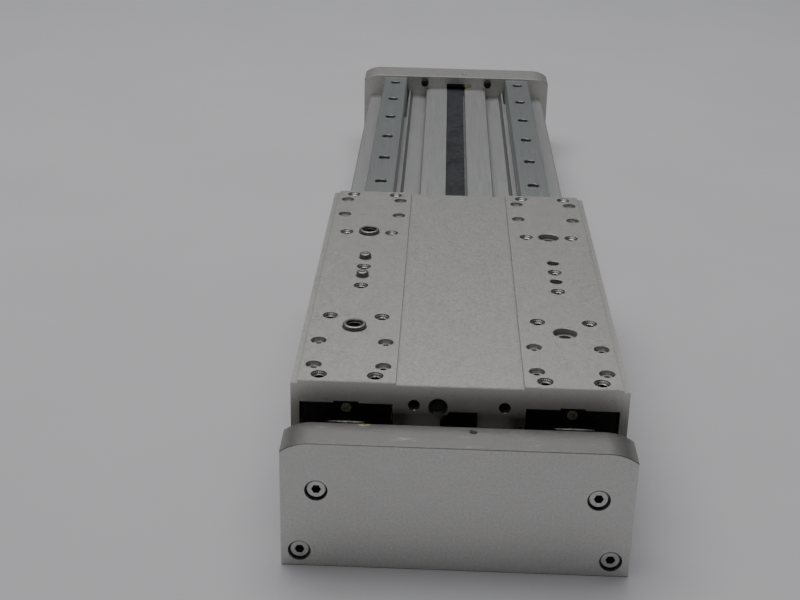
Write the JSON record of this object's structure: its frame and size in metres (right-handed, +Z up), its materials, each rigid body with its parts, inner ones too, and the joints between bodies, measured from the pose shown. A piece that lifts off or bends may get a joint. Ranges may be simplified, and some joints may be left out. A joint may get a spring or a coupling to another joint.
{
  "type": "ball screw linear module",
  "caption": "Ball-screw-driven linear module: stepped aluminium base, twin profile rails, wide carriage on guide blocks, end plates and a cover strip.",
  "frame": {"origin": "on the floor, under the middle of the module's length and width", "axes": "+Y along the module from the idle end to the drive end, +Z up, +X to the right when seen from the idle end"},
  "size_m": [0.1226, 0.5408, 0.0642],
  "materials": {
    "profile_aluminium": "anodised natural, satin",
    "plate_aluminium": "anodised natural, fine blasted",
    "carriage_aluminium": "anodised natural, brushed",
    "inner_aluminium": "machined",
    "rail_steel": "ground, satin",
    "block_steel": "ground",
    "black_plastic": "moulded, matt",
    "bumper_rubber": "moulded, matt",
    "strip_band": "dusty charcoal, satin",
    "brass": "dull",
    "hardened_steel": "hardened, dark",
    "screw_steel": "zinc, satin",
    "bearing_steel": "polished",
    "ground_steel": "ground",
    "dark_steel": "blackened"
  },
  "bodies": {
    "base": {"base_profile": "profile_aluminium", "idle_end_plate": "plate_aluminium", "drive_end_plate": "plate_aluminium", "idle_end_plate_screws": "screw_steel", "drive_end_plate_screws": "screw_steel", "idle_bumpers": "bumper_rubber", "drive_bumpers": "bumper_rubber", "guide_rail_left": "rail_steel", "guide_rail_right": "rail_steel", "rail_screws_left": "screw_steel", "rail_screws_right": "screw_steel", "cover_strip": "strip_band", "idle_strip_clamp": "dark_steel", "idle_strip_set_screw": "screw_steel", "drive_strip_clamp": "dark_steel", "drive_strip_set_screw": "screw_steel", "idle_bearing_outer_ring": "bearing_steel", "idle_bearing_balls": "bearing_steel", "drive_bearing_outer_rings": "bearing_steel", "drive_bearing_balls": "bearing_steel", "drive_bearing_cover": "bearing_steel", "drive_bearing_cover_screws": "screw_steel"},
    "screw": {"ball_screw": "ground_steel", "idle_bearing_inner_ring": "bearing_steel", "idle_retaining_ring": "bearing_steel", "drive_bearing_inner_rings": "bearing_steel", "drive_lock_nut": "bearing_steel"},
    "carriage": {"carriage_plate": "carriage_aluminium", "ball_nut": "ground_steel", "ball_nut_balls": "bearing_steel", "ball_nut_end_caps": "black_plastic", "nut_driver": "inner_aluminium", "nut_lock_ring": "bearing_steel", "centering_rings": "hardened_steel", "dowel_pins": "hardened_steel", "block_screws": "screw_steel", "strip_guide_front": "black_plastic", "strip_guide_rear": "black_plastic", "lubrication_plugs": "brass", "guide_block_front_left": "block_steel", "block_end_caps_front_left": "black_plastic", "block_balls_front_left": "bearing_steel", "guide_block_front_right": "block_steel", "block_end_caps_front_right": "black_plastic", "block_balls_front_right": "bearing_steel", "guide_block_rear_left": "block_steel", "block_end_caps_rear_left": "black_plastic", "block_balls_rear_left": "bearing_steel", "guide_block_rear_right": "block_steel", "block_end_caps_rear_right": "black_plastic", "block_balls_rear_right": "bearing_steel"}
  },
  "joints": [
    {"name": "carriage_slide", "type": "slide", "parent": "base", "child": "carriage", "axis": [0, 1, 0], "range_m": [-0.005, 0.269], "deforming": ["cover_strip"]},
    {"name": "screw_spin", "type": "hinge", "parent": "base", "child": "screw", "pos_m": [0, 0, 0.0215], "axis": [0, 1, 0], "continuous": true}
  ],
  "couplings": [
    {"joint": "screw_spin", "follows": "carriage_slide", "rad_per_m": -628.32}
  ]
}
